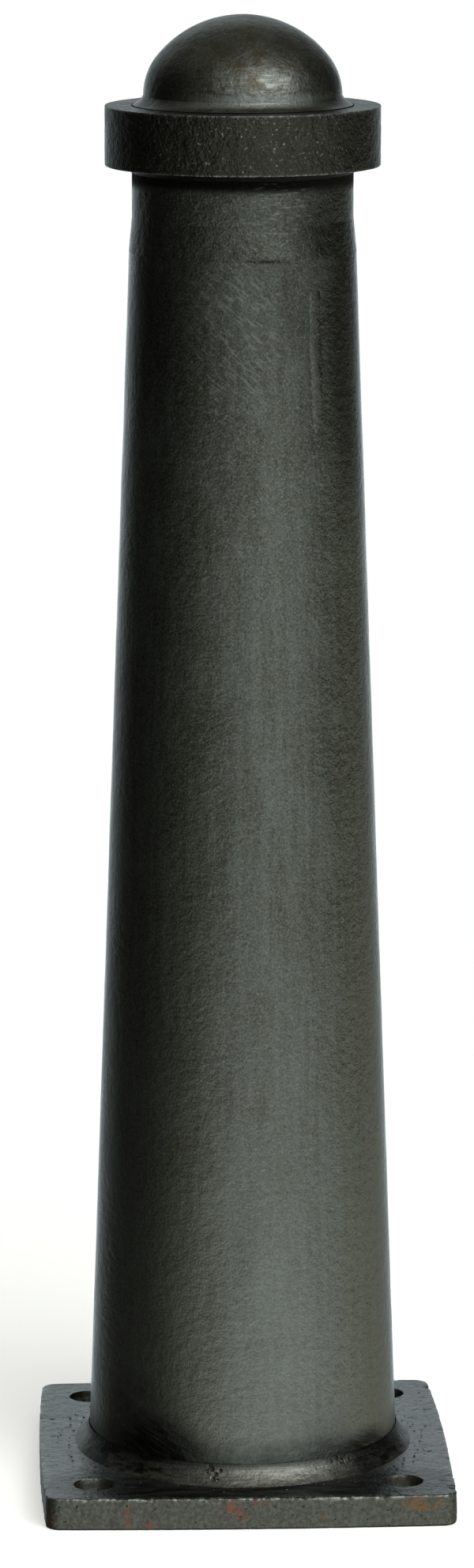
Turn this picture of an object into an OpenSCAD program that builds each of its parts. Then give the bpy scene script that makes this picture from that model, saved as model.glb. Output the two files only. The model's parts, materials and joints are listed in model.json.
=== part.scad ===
// Welded steel bollard: base plate, rolled conical post, neck, collar ring and pressed dome.
// Millimetres, +Z up. The origin is the centre of the base plate's underside.

/* [Base plate] */
// Length of each side of the base plate, from corner to corner
plate_side = 250; // [240:5:320]
// How far the middle of each flame-cut side bows outwards
plate_bow = 3; // [1:0.5:6]
// Thickness of the base plate
plate_t = 20; // [12:1:30]
// Radius of the plate's four rounded corners
plate_corner_r = 10; // [4:1:20]
// Diameter of each anchor hole
anchor_d = 24; // [14:1:28]
// Distance from the centre of an anchor hole to the two sides nearest to it
anchor_edge = 30; // [24:1:34]
// Diameter of the drain hole in the middle of the plate, under the hollow post
drain_d = 60; // [20:5:100]

/* [Post] */
// Outer diameter of the post at its foot
foot_d = 193.7; // [170:0.1:200]
// Outer diameter of the post at its top, where the neck is welded on
top_d = 138.5; // [130:0.5:165]
// Height of the rolled post, from the plate to the neck joint
shell_h = 753; // [400:1:1100]
// Wall thickness of the rolled post, measured level
shell_wall = 8; // [4:0.5:12]

/* [Neck] */
// Step in radius from the post's top down to the neck
neck_step = 1.75; // [0.5:0.25:4]
// Wall thickness of the neck tube
neck_wall = 6.3; // [4:0.1:10]
// Length of the neck tube, from the root of its weld to the collar's top face
neck_len = 82; // [60:1:140]

/* [Collar] */
// Thickness of the collar ring, from its bore to its outside
collar_thick = 16.1; // [12:0.1:30]
// Height of the collar ring
collar_h = 37; // [20:1:50]
// Bevel on the collar's outer edges
collar_edge = 1.2; // [0.5:0.1:3]
// Gap between the collar's bore and the neck
collar_clear = 0.4; // [0.2:0.1:0.8]

/* [Dome] */
// Gap between the dome's skirt and the bore of the neck tube
dome_clear = 0.7; // [0.2:0.1:0.9]
// Height of the dome above its straight rim
dome_rise = 48.8; // [42:0.2:56]
// Radius of the knuckle between the crown and the rim
knuckle_r = 38.5; // [15:0.5:40]
// Length of the dome's skirt inside the neck tube
dome_skirt = 15; // [8:1:30]
// Thickness of the dome's wall
dome_wall = 5; // [3:0.5:8]

/* [Welds] */
// Gap left between two plates at the root of a groove weld
root_gap = 2; // [1:0.5:3]
// Bevel angle of each plate at a groove weld
bevel_deg = 30; // [20:1:35]
// Height of the seam weld above the post's surface
seam_cap = 0.4; // [0.2:0.1:1]
// Direction of the post's seam, anticlockwise from +X
seam_deg = -54; // [-180:1:180]
// Length over which the neck weld is dressed up the neck
neck_dress = 10; // [4:1:20]
// Width of the foot weld on the plate
foot_weld_w = 9; // [5:0.5:12]
// Height of the foot weld up the post
foot_weld_h = 12; // [5:0.5:16]
// Width of the dome weld on the collar's top
dome_weld_w = 6.5; // [4:0.5:9]
// Height of the dome weld, which the dome's straight rim stands clear of the collar by
dome_weld_h = 5.5; // [3:0.5:8]
// Size of the fillet weld under the collar
under_weld = 4; // [2:0.5:6]
// Depth of the groove weld in the collar's top face
collar_groove = 6; // [3:0.5:8]
// Depth of the hollow in the face of a fillet weld
weld_hollow = 0.8; // [0.2:0.1:1.2]

/* [Hidden] */
$fn = 128;

// The bowed sides are arcs of a very large circle, so they need far more sides to stay smooth
bow_fn = 1440;
// Overshoot that keeps two cut faces from lying in one plane
eps = 1;
// Length by which the seam's groove is cut past both ends of the post
overrun = 20;

// Radii
foot_ro = foot_d / 2;
foot_ri = foot_ro - shell_wall;
top_ro = top_d / 2;
top_ri = top_ro - shell_wall;
neck_ro = top_ro - neck_step;
neck_ri = neck_ro - neck_wall;
collar_ri = neck_ro + collar_clear;
collar_ro = collar_ri + collar_thick;
dome_ro = neck_ri - dome_clear;

// Heights
root_z = plate_t + shell_h;
neck_z = root_z + root_gap;
cap_z = neck_z + neck_len;
under_z = cap_z - collar_h;
rim_z = cap_z + dome_weld_h;
skirt_z = cap_z - dome_skirt;

// Taper of the post, and its outer radius at a height
taper_deg = atan((foot_ro - top_ro) / shell_h);
function post_ro(z) = foot_ro - (z - plate_t) * tan(taper_deg);

// Lips of the two bevels at the neck joint
shell_lip_z = root_z - shell_wall * tan(bevel_deg);
neck_lip_z = neck_z + neck_wall * tan(bevel_deg);

// Bowed plate: radius of the side arcs, and the centre of each corner's rounding
half_side = plate_side / 2;
bow_r = (half_side * half_side + plate_bow * plate_bow) / (2 * plate_bow);
bow_c = bow_r - half_side - plate_bow;
corner_c = (sqrt(2 * pow(bow_r - plate_corner_r, 2) - bow_c * bow_c) - bow_c) / 2;
anchor_xy = half_side - anchor_edge;

// Dome: centre of the knuckle, and radius and centre of the crown that it runs smoothly into
knuckle_x = dome_ro - knuckle_r;
crown_r = (dome_ro * dome_ro + dome_rise * dome_rise - 2 * dome_ro * knuckle_r)
    / (2 * (dome_rise - knuckle_r));
crown_z = rim_z + dome_rise - crown_r;

// Area outside the rounding of the plate's first corner
module corner_waste() {
    lean = atan(corner_c / (bow_c + corner_c));
    reach = 2 * plate_corner_r;
    translate([corner_c, corner_c])
        difference() {
            polygon([
                [0, 0],
                [reach * cos(lean), reach * sin(lean)],
                [reach, reach],
                [reach * sin(lean), reach * cos(lean)]
            ]);
            circle(r = plate_corner_r);
        }
}

// Outline of the base plate: four shallow arcs that meet in rounded corners
module plate_outline() {
    difference() {
        intersection_for(a = [0:90:270])
            rotate(a)
                translate([0, -bow_c])
                    circle(r = bow_r, $fn = bow_fn);
        for (a = [0:90:270])
            rotate(a)
                corner_waste();
    }
}

module base_plate() {
    color([0.33, 0.35, 0.35])
        difference() {
            linear_extrude(plate_t)
                plate_outline();
            for (x = [-anchor_xy, anchor_xy], y = [-anchor_xy, anchor_xy])
                translate([x, y, -eps])
                    cylinder(d = anchor_d, h = plate_t + 2 * eps);
            translate([0, 0, -eps])
                cylinder(d = drain_d, h = plate_t + 2 * eps);
        }
}

// Section of a fillet weld: a corner, its two toes, and a face hollowed by an arc
module fillet_section(corner, toe_out, toe_up) {
    chord = toe_up - toe_out;
    len = norm(chord);
    arc_r = (len * len / 4 + weld_hollow * weld_hollow) / (2 * weld_hollow);
    // the face's normal points away from the corner
    side = cross(chord, corner - toe_out) > 0 ? 1 : -1;
    normal = side * [chord[1], -chord[0]] / len;
    difference() {
        polygon([corner, toe_out, toe_up]);
        translate((toe_out + toe_up) / 2 + normal * (arc_r - weld_hollow))
            circle(r = arc_r);
    }
}

module foot_weld() {
    color([0.42, 0.44, 0.43])
        rotate_extrude()
            fillet_section(
                [foot_ro, plate_t],
                [foot_ro + foot_weld_w, plate_t],
                [post_ro(plate_t + foot_weld_h), plate_t + foot_weld_h]
            );
}

// Strip that follows one generator of the cone, wider outside than inside, as its two bevels leave it
module seam_groove() {
    in_x = -root_gap / 2;
    out_x = shell_wall + 2 * eps;
    function half_w(x) = root_gap / 2 + x * tan(bevel_deg);
    rotate([0, 0, seam_deg])
        translate([foot_ri, 0, plate_t])
            rotate([0, -taper_deg, 0])
                translate([0, 0, -overrun])
                    linear_extrude(shell_h + 2 * overrun)
                        polygon([
                            [in_x, -half_w(in_x)],
                            [out_x, -half_w(out_x)],
                            [out_x, half_w(out_x)],
                            [in_x, half_w(in_x)]
                        ]);
}

module post_shell() {
    color([0.26, 0.28, 0.27])
        difference() {
            rotate_extrude()
                polygon([
                    [foot_ri, plate_t],
                    [foot_ro, plate_t],
                    [post_ro(shell_lip_z), shell_lip_z],
                    [top_ri, root_z]
                ]);
            seam_groove();
        }
}

// The seam weld fills its groove, with a low cap that stops short of the welds at both ends
module seam_weld() {
    cap_lo = plate_t + foot_weld_h + eps;
    cap_hi = shell_lip_z - eps;
    color([0.30, 0.32, 0.31])
        intersection() {
            rotate_extrude()
                polygon([
                    [foot_ri, plate_t],
                    [foot_ro, plate_t],
                    [post_ro(cap_lo), cap_lo],
                    [post_ro(cap_lo) + seam_cap, cap_lo],
                    [post_ro(cap_hi) + seam_cap, cap_hi],
                    [post_ro(cap_hi), cap_hi],
                    [post_ro(shell_lip_z), shell_lip_z],
                    [top_ri, root_z]
                ]);
            seam_groove();
        }
}

// The neck weld fills the groove between the two bevels and is dressed smooth up the neck
module neck_weld() {
    color([0.24, 0.25, 0.23])
        rotate_extrude()
            polygon([
                [top_ri, root_z],
                [post_ro(shell_lip_z), shell_lip_z],
                [neck_ro, neck_lip_z + neck_dress],
                [neck_ro, neck_lip_z],
                [neck_ri, neck_z]
            ]);
}

module neck_tube() {
    color([0.22, 0.23, 0.21])
        rotate_extrude()
            polygon([
                [neck_ri, neck_z],
                [neck_ro, neck_lip_z],
                [neck_ro, cap_z],
                [neck_ri, cap_z]
            ]);
}

// The ring slips over the neck, and its bore is opened at the top for the groove weld
module collar_ring() {
    groove_ri = collar_ri + collar_groove;
    color([0.20, 0.21, 0.19])
        rotate_extrude()
            polygon([
                [collar_ri, under_z],
                [collar_ro - collar_edge, under_z],
                [collar_ro, under_z + collar_edge],
                [collar_ro, cap_z - collar_edge],
                [collar_ro - collar_edge, cap_z],
                [groove_ri, cap_z],
                [collar_ri, cap_z - collar_groove]
            ]);
}

module collar_top_weld() {
    color([0.27, 0.28, 0.26])
        rotate_extrude()
            polygon([
                [neck_ro, cap_z - collar_groove],
                [collar_ri, cap_z - collar_groove],
                [collar_ri + collar_groove, cap_z],
                [neck_ro, cap_z]
            ]);
}

module collar_under_weld() {
    color([0.18, 0.19, 0.18])
        rotate_extrude()
            fillet_section(
                [neck_ro, under_z],
                [collar_ri + under_weld, under_z],
                [neck_ro, under_z - under_weld]
            );
}

// Outline of the solid dome, pulled in by an inset: crown, knuckle, and all below them
module dome_outline(inset) {
    // both arcs meet on the line through their two centres
    lean = atan(knuckle_x / (rim_z - crown_z));
    far = 2 * crown_r;
    intersection() {
        translate([0, crown_z])
            circle(r = crown_r - inset);
        translate([0, crown_z])
            polygon([[0, 0], [far * sin(lean), far * cos(lean)], [0, far]]);
    }
    intersection() {
        translate([knuckle_x, rim_z])
            circle(r = knuckle_r - inset);
        translate([0, rim_z - far])
            square([far, 2 * far]);
    }
    polygon([
        [0, min(crown_z, skirt_z) - far],
        [dome_ro - inset, min(crown_z, skirt_z) - far],
        [dome_ro - inset, rim_z],
        [knuckle_x, rim_z],
        [0, crown_z]
    ]);
}

module dome_cap() {
    color([0.34, 0.35, 0.33])
        rotate_extrude()
            intersection() {
                difference() {
                    dome_outline(0);
                    dome_outline(dome_wall);
                }
                translate([0, skirt_z])
                    square([dome_ro + eps, crown_r + dome_rise]);
            }
}

module dome_weld() {
    color([0.36, 0.38, 0.37])
        rotate_extrude()
            fillet_section(
                [dome_ro, cap_z],
                [dome_ro + dome_weld_w, cap_z],
                [dome_ro, cap_z + dome_weld_h]
            );
}

base_plate();
foot_weld();
post_shell();
seam_weld();
neck_weld();
neck_tube();
collar_ring();
collar_top_weld();
collar_under_weld();
dome_cap();
dome_weld();
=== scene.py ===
# A welded steel bollard, shown as it comes from the workshop: blackened, oiled and dressed by hand.
import json
import math

import bmesh
import bpy
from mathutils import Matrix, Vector, noise
from mathutils.geometry import delaunay_2d_cdt

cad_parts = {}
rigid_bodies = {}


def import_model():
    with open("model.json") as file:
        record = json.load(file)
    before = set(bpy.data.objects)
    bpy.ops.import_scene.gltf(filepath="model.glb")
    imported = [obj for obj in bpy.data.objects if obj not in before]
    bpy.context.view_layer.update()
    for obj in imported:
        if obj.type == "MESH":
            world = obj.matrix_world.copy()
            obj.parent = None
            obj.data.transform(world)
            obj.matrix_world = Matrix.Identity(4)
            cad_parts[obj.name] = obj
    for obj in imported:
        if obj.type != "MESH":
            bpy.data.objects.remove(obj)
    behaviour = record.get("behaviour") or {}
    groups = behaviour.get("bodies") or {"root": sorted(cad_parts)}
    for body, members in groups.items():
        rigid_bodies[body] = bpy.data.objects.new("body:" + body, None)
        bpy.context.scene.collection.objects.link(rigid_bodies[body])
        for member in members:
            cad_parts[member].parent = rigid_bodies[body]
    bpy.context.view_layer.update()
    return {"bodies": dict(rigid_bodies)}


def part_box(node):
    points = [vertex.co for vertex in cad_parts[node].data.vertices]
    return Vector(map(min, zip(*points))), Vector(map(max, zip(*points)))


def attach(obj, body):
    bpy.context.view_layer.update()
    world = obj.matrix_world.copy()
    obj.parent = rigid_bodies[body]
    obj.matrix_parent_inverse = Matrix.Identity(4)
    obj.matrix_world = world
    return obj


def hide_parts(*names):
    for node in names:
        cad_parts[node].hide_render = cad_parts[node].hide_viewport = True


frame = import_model()
body = next(iter(frame["bodies"]))


# ---- Base plate ----------------------------------------------------------------------------------
# A square of 20 mm mild steel plate, cut with a torch: its sides bow a little, carry the torch's drag
# lines and are chipped along the upper edge. The four anchor holes and the drain hole are torch-cut too.

def add(tree, kind, inputs=None, **settings):
    """Adds a node. inputs maps a socket's name or number to a value, or to the socket that feeds it."""
    made = tree.nodes.new(kind)
    for name, value in settings.items():
        setattr(made, name, value)
    for key, value in (inputs or {}).items():
        if isinstance(value, bpy.types.NodeSocket):
            tree.links.new(value, made.inputs[key])
        else:
            made.inputs[key].default_value = value
    return made


def sums(tree, operation, *values):
    """One step of arithmetic between sockets or numbers."""
    return add(tree, "ShaderNodeMath", dict(enumerate(values)), operation=operation).outputs[0]


def spread(tree, value, low, high, start=0.0, end=1.0):
    """Takes low..high to start..end, smoothly, and holds the ends."""
    numbers = {"Value": value, "From Min": low, "From Max": high, "To Min": start, "To Max": end}
    return add(tree, "ShaderNodeMapRange", numbers, interpolation_type="SMOOTHSTEP").outputs[0]


def blotches(tree, size, detail=3.0, stretch=(1, 1, 1), shift=0.0, rough=0.55):
    """Cloudy pattern, 0 to 1, whose patches are about size across, and longer where stretch says."""
    place = add(tree, "ShaderNodeTexCoord").outputs["Object"]
    scale = [1 / (size * s) for s in stretch]
    at = add(tree, "ShaderNodeMapping", {"Vector": place, "Location": (shift,) * 3, "Scale": scale})
    settings = {"Vector": at.outputs[0], "Scale": 1.0, "Detail": detail, "Roughness": rough}
    return add(tree, "ShaderNodeTexNoise", settings).outputs[0]


def spot(tree, centre, reach):
    """1 at centre, fading to 0 on an ellipsoid with the given reach along X, Y and Z."""
    place = add(tree, "ShaderNodeTexCoord").outputs["Object"]
    moved = add(tree, "ShaderNodeVectorMath", {0: place, 1: centre}, operation="SUBTRACT").outputs[0]
    scaled = add(tree, "ShaderNodeVectorMath", {0: moved, 1: reach}, operation="DIVIDE").outputs[0]
    length = add(tree, "ShaderNodeVectorMath", {0: scaled}, operation="LENGTH").outputs["Value"]
    return spread(tree, length, 0.35, 1.0, 1.0, 0.0)


def mix(tree, share, below, above, kind="RGBA"):
    """Goes from below to above as share goes from 0 to 1: colours, or with kind FLOAT plain values."""
    a, b, result = (6, 7, 2) if kind == "RGBA" else (2, 3, 0)
    return add(tree, "ShaderNodeMix", {0: share, a: below, b: above}, data_type=kind).outputs[result]


def stain(tree, mask, colour, roughness=None):
    """Lays a colour, and a roughness, over what the steel has, where mask is 1."""
    shader = tree.nodes["Principled BSDF"]
    base = shader.inputs["Base Color"]
    tree.links.new(mix(tree, mask, base.links[0].from_socket, (*colour, 1)), base)
    if roughness is not None:
        shine = shader.inputs["Roughness"]
        tree.links.new(mix(tree, mask, shine.links[0].from_socket, roughness, "FLOAT"), shine)


def where(tree, axis):
    """The piece's own X, Y or Z."""
    place = add(tree, "ShaderNodeTexCoord").outputs["Object"]
    return add(tree, "ShaderNodeSeparateXYZ", {0: place}).outputs[axis]


def vary(tree, value, pattern, amount):
    """Adds a pattern's swing about its middle to a value."""
    return sums(tree, "MULTIPLY_ADD", sums(tree, "SUBTRACT", pattern, 0.5), amount, value)


def black_steel(name, dark, light, roughness, patch=0.03, grain=0.0016, relief=0.4, streak=0.0, speckle=1.3):
    """Blackened and oiled steel: patches and grain in its colour, shine and relief; streaks run down it.
    patch and grain are sizes, and relief, streak and speckle say how strongly each shows."""
    steel = bpy.data.materials.new(name)
    steel.use_nodes = True
    tree = steel.node_tree
    shader = tree.nodes["Principled BSDF"]
    shader.inputs["Metallic"].default_value = 0.92
    cloud = blotches(tree, patch, detail=5, stretch=(1, 1, 1.6), rough=0.62)
    fine = blotches(tree, grain, detail=3, shift=3.1)
    drawn = blotches(tree, 0.0045, detail=3, stretch=(1, 1, 25), shift=7.7)
    tone = vary(tree, vary(tree, cloud, fine, speckle), drawn, streak)
    tree.links.new(mix(tree, tone, (*dark, 1), (*light, 1)), shader.inputs["Base Color"])
    shine = vary(tree, vary(tree, roughness, cloud, 0.22), fine, 0.16)
    tree.links.new(shine, shader.inputs["Roughness"])
    height = sums(tree, "MULTIPLY_ADD", blotches(tree, 4 * grain, detail=2, shift=5.3), 2.0, fine)
    bump = add(tree, "ShaderNodeBump", {"Height": height, "Strength": relief, "Distance": grain / 2})
    tree.links.new(bump.outputs[0], shader.inputs["Normal"])
    return steel


def finish_mesh(bm, mesh, corner=38):
    """Smooths the shading, but for corners sharper than the given angle in degrees."""
    bm.to_mesh(mesh)
    bm.free()
    mesh.shade_smooth()
    mesh.set_sharp_from_angle(angle=math.radians(corner))
    return mesh


def piece(name, mesh, steel, node):
    """Puts a finished mesh in the scene as the piece that stands for a CAD node."""
    made = bpy.data.objects.new(name, mesh)
    bpy.context.scene.collection.objects.link(made)
    mesh.materials.clear()
    mesh.materials.append(steel)
    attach(made, body)
    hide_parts(node)


plate_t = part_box("base_plate")[1].z
plate_bow = 0.003
half_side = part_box("base_plate")[1].x - plate_bow
corner_r = 0.010
corner_drawn = Vector((0.0019, -0.0002, 0))
corner_drawn_reach = 0.07
anchor_r = 0.012
anchor_xy = half_side - 0.030
drain_r = 0.030
hole_flare = 0.0007
edge_step = 0.0011
side_levels = 17
wall_levels = 10
# The soft edges of the cut sides, as distance from the face and inset.
arris = ((0.0, 0.0011), (0.0003, 0.0004), (0.0010, 0.0))
holes = [(x, y, anchor_r) for x in (-anchor_xy, anchor_xy) for y in (-anchor_xy, anchor_xy)]
holes.append((0, 0, drain_r))


def plate_outline(step):
    """Points round the bowed square, anticlockwise, each with its outward direction."""
    bow_r = (half_side ** 2 + plate_bow ** 2) / (2 * plate_bow)
    bow_c = bow_r - half_side - plate_bow
    corner_c = (math.sqrt(2 * (bow_r - corner_r) ** 2 - bow_c ** 2) - bow_c) / 2
    lean = math.atan(corner_c / (bow_c + corner_c))
    side_steps = round(2 * half_side / step)
    corner_steps = round(corner_r * 1.5 / step)
    points = []
    for quarter in range(4):
        turn = quarter * math.pi / 2
        for i in range(side_steps):
            a = -lean + 2 * lean * i / side_steps
            points.append((bow_r * math.cos(a) - bow_c, bow_r * math.sin(a), a + turn, turn))
        for i in range(corner_steps):
            a = lean + (math.pi / 2 - 2 * lean) * i / corner_steps
            x = corner_c + corner_r * math.cos(a)
            y = corner_c + corner_r * math.sin(a)
            points.append((x, y, a + turn, turn))
    return [
        (Vector((x * math.cos(t) - y * math.sin(t), x * math.sin(t) + y * math.cos(t), 0)),
         Vector((math.cos(a), math.sin(a), 0)))
        for x, y, a, t in points
    ]


def torch_cut(at, out, z, along):
    """Where the torch left the cut face: drag lines, ripples, and chips along the upper edge. Also says
    how much a chip lowers the edge. The front right corner is drawn out a little."""
    drag = noise.noise((along / 0.0013, z / 0.012, 0.0))
    wave = noise.noise(Vector((at.x, at.y, z * 0.6)) / 0.009)
    pits = max(0.0, noise.noise(Vector((at.x, at.y, z)) / 0.003) - 0.2)
    edge = max(0.0, 1 - (plate_t - z) / 0.004)
    chip = max(0.0, noise.noise((along / 0.013, z / 0.007, 5.0)) - 0.22) * edge
    inset = 0.00035 + 0.00012 * drag + 0.00022 * wave + 0.0006 * pits + 0.0028 * chip
    from_corner = math.hypot(at.x - half_side, at.y + half_side)
    drawn = corner_drawn * max(0.0, 1 - from_corner / corner_drawn_reach) ** 1.5
    return at - out * max(0.0, inset) + drawn, 0.0026 * chip


def plate_top(x, y):
    """Height of the plate's upper face: a slight wave and a few small pits."""
    pit = max(0.0, noise.noise((x / 0.0045, y / 0.0045, 9.0)) - 0.42)
    return plate_t - 0.0001 - 0.0001 * noise.noise((x / 0.03, y / 0.03, 2.0)) - 0.0016 * pit


def in_hole(point, rims):
    """Whether a point lies inside the rim of a hole: left of the stretch of rim on its bearing."""
    for (cx, cy, _), rim in zip(holes, rims):
        bearing = math.atan2(point.y - cy, point.x - cx) % math.tau
        i = int(bearing / math.tau * len(rim)) % len(rim)
        start = rim[i].co.xy
        end = rim[(i + 1) % len(rim)].co.xy
        if (end - start).cross(point - start) > 0:
            return True
    return False


def fill_plate(bm, loops, step, upper):
    """Fills the upper or lower face between the outline, which is the first loop, and the holes' rims
    with small triangles."""
    margin = 0.003
    rim_margin = 0.0022
    known = [v for loop in loops for v in loop]
    points = [Vector(v.co.xy) for v in known]
    edges = []
    first = 0
    for loop in loops:
        edges += [(first + i, first + (i + 1) % len(loop)) for i in range(len(loop))]
        first += len(loop)
    count = int(half_side / step)
    for i in range(-count, count + 1):
        for j in range(-count, count + 1):
            x = (i + 0.3 * noise.noise((i * 0.7, j * 0.7, 1.0))) * step
            y = (j + 0.5 * (i % 2) + 0.3 * noise.noise((i * 0.7, j * 0.7, 6.0))) * step
            past_x = max(0, abs(x) - half_side + corner_r)
            past_y = max(0, abs(y) - half_side + corner_r)
            if math.hypot(past_x, past_y) > corner_r - margin or max(abs(x), abs(y)) > half_side - margin:
                continue
            if all(math.hypot(x - cx, y - cy) > r + rim_margin for cx, cy, r in holes):
                points.append(Vector((x, y)))
    xy, _, faces, origin, _, _ = delaunay_2d_cdt(points, edges, [], 1, 1e-7)
    verts = []
    for at, sources in zip(xy, origin):
        old = [s for s in sources if s < len(known)]
        z = plate_top(at.x, at.y) if upper else 0.0
        verts.append(known[old[0]] if old else bm.verts.new((at.x, at.y, z)))
    for face in faces:
        middle = sum((xy[i] for i in face), Vector((0, 0))) / len(face)
        if not in_hole(middle, loops[1:]):
            bm.faces.new([verts[i] for i in face])


def base_plate_mesh():
    """The cut sides from the underside up, the walls of the holes, and then the two faces between them."""
    edge = plate_outline(edge_step)
    bm = bmesh.new()
    wear = bm.verts.layers.float.new("wear")
    levels = list(arris) + [(plate_t * k / side_levels, 0.0) for k in range(2, side_levels - 1)]
    levels += [(plate_t - z, inset) for z, inset in reversed(arris)]
    rings = []
    for z, inset in levels:
        ring = []
        for i, (at, out) in enumerate(edge):
            cut, drop = torch_cut(at - out * inset, out, z, i * edge_step)
            ring.append(bm.verts.new((cut.x, cut.y, max(0.0, z - drop))))
            near_top = max(0.0, 1 - (plate_t - z) / 0.0022)
            ring[-1][wear] = min(1.0, drop / 0.0007 + near_top * 0.8)
        rings.append(ring)
    for lower, upper in zip(rings, rings[1:]):
        for i in range(len(edge)):
            j = (i + 1) % len(edge)
            bm.faces.new((lower[i], lower[j], upper[j], upper[i]))
    loops = {"top": [rings[-1]], "under": [rings[0]]}
    for number, (cx, cy, r) in enumerate(holes):
        around = round(2 * math.pi * r / edge_step)
        walls = []
        for k in range(wall_levels + 1):
            z = plate_t * k / wall_levels
            flare = hole_flare if k in (0, wall_levels) else 0.0
            wall = []
            for i in range(around):
                a = 2 * math.pi * i / around
                rough = noise.noise((math.cos(a) * 3, math.sin(a) * 3, z / 0.01 + number))
                drag = noise.noise((a * r / 0.0014, z / 0.015, number))
                reach = r + flare + 0.0005 * rough + 0.00018 * drag
                level = plate_top(cx, cy) if k == wall_levels else z
                wall.append(bm.verts.new((cx + reach * math.cos(a), cy + reach * math.sin(a), level)))
            walls.append(wall)
        for lower, upper in zip(walls, walls[1:]):
            for i in range(around):
                j = (i + 1) % around
                bm.faces.new((lower[i], upper[i], upper[j], lower[j]))
        loops["top"].append(walls[-1])
        loops["under"].append(walls[0])
    for side, step in (("top", 0.0018), ("under", 0.012)):
        fill_plate(bm, loops[side], step, side == "top")
    bmesh.ops.recalc_face_normals(bm, faces=bm.faces)
    return finish_mesh(bm, bpy.data.meshes.new("base_plate_steel"))


plate_steel = black_steel(
    "plate_steel", (0.078, 0.084, 0.084), (0.180, 0.192, 0.192), 0.36,
    patch=0.02, relief=0.45, speckle=1.8,
)
tree = plate_steel.node_tree
# Its cut sides are duller, with patches of scale.
on_side = spread(tree, where(tree, "Z"), plate_t - 0.0002, plate_t - 0.0012)
stain(tree, on_side, (0.066, 0.069, 0.058), 0.5)
scaly = spread(tree, blotches(tree, 0.0024, detail=5, shift=2.2), 0.38, 0.62, 0.0, 0.45)
stain(tree, sums(tree, "MULTIPLY", on_side, scaly), (0.022, 0.022, 0.017), 0.6)
# Darker round the front of the weld foot, brushed sideways.
brushed = spread(tree, blotches(tree, 0.0022, detail=4, stretch=(9, 2, 1), shift=1.4), 0.40, 0.60, 0.5, 1.0)
for centre, span, strength in (
    ((0.0, -0.119, 0.02), (0.148, 0.036, 0.03), 1.0),
    ((-0.088, -0.094, 0.02), (0.052, 0.040, 0.03), 0.9),
    ((0.098, -0.096, 0.02), (0.050, 0.038, 0.03), 0.9),
):
    darker_round_weld = sums(tree, "MULTIPLY", spot(tree, centre, span), sums(tree, "MULTIPLY", brushed, strength))
    darker_round_weld = sums(tree, "MULTIPLY", darker_round_weld, sums(tree, "SUBTRACT", 1.0, on_side))
    stain(tree, darker_round_weld, (0.007, 0.007, 0.004), 0.34)
# Small pits, and painted shade: a black lower arris where the plate meets the floor.
pits = spread(tree, blotches(tree, 0.0028, detail=2, shift=4.4), 0.66, 0.72)
stain(tree, pits, (0.012, 0.012, 0.010), 0.7)
painted_shade_lower_arris = spread(tree, where(tree, "Z"), 0.0007, 0.0018, 0.9, 0.0)
stain(tree, painted_shade_lower_arris, (0.010, 0.010, 0.008), 0.6)
# Bright steel where the upper arris is knocked, and old rust on the front.
worn = add(tree, "ShaderNodeAttribute", attribute_name="wear").outputs["Fac"]
bare = spread(tree, blotches(tree, 0.0032, detail=4, shift=8.1), 0.47, 0.62)
stain(tree, sums(tree, "MULTIPLY", worn, bare), (0.24, 0.25, 0.24), 0.36)
ragged = spread(tree, blotches(tree, 0.0042, detail=5, shift=6.3, rough=0.7), 0.46, 0.58)
for centre, span, colour, strength in (
    ((-0.0745, -0.127, 0.0085), (0.0045, 0.006, 0.0105), (0.150, 0.055, 0.034), 0.72),
    ((-0.0615, -0.127, 0.0040), (0.0045, 0.006, 0.0050), (0.165, 0.058, 0.036), 0.66),
    ((-0.0120, -0.127, 0.0150), (0.0085, 0.006, 0.0060), (0.185, 0.062, 0.040), 0.80),
    ((-0.0060, -0.127, 0.0090), (0.0050, 0.006, 0.0080), (0.170, 0.060, 0.038), 0.78),
    ((0.0070, -0.127, 0.0165), (0.0075, 0.006, 0.0045), (0.170, 0.060, 0.038), 0.78),
    ((0.0440, -0.127, 0.0080), (0.0022, 0.006, 0.0060), (0.13, 0.055, 0.025), 0.70),
    ((0.1050, -0.126, 0.0145), (0.0170, 0.006, 0.0060), (0.16, 0.085, 0.028), 0.75),
    ((-0.1230, -0.122, 0.0050), (0.0060, 0.006, 0.0070), (0.12, 0.060, 0.030), 0.60),
):
    rust = sums(tree, "MULTIPLY", spot(tree, centre, span), sums(tree, "MULTIPLY", ragged, strength))
    stain(tree, rust, colour, 0.75)
piece("base_plate_cut", base_plate_mesh(), plate_steel, "base_plate")


# ---- Rolled post ---------------------------------------------------------------------------------
# A cone rolled from 8 mm plate, standing on the base plate. The rolls and the hammer that trued it left
# shallow dents all over.

def arc(centre, radius, start, end, steps):
    """Points on an arc of a section, as (distance from the axis, height); angles in degrees."""
    turns = [math.radians(start + (end - start) * i / steps) for i in range(steps + 1)]
    return [(centre[0] + radius * math.cos(a), centre[1] + radius * math.sin(a)) for a in turns]


def line(start, end, steps):
    """Points from start towards end, without the end itself."""
    return [tuple(s + (e - s) * i / steps for s, e in zip(start, end)) for i in range(steps)]


def hollow(toe, top, depth, steps):
    """Points up the face of a fillet weld, from its toe to its top, ground a little hollow."""
    run = Vector((top[0] - toe[0], top[1] - toe[1]))
    into = Vector((-run.y, run.x)).normalized() * depth
    points = []
    for i in range(steps + 1):
        s = i / steps
        bulge = 4 * s * (1 - s)
        points.append((toe[0] + run.x * s + into.x * bulge, toe[1] + run.y * s + into.y * bulge))
    return points


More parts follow.
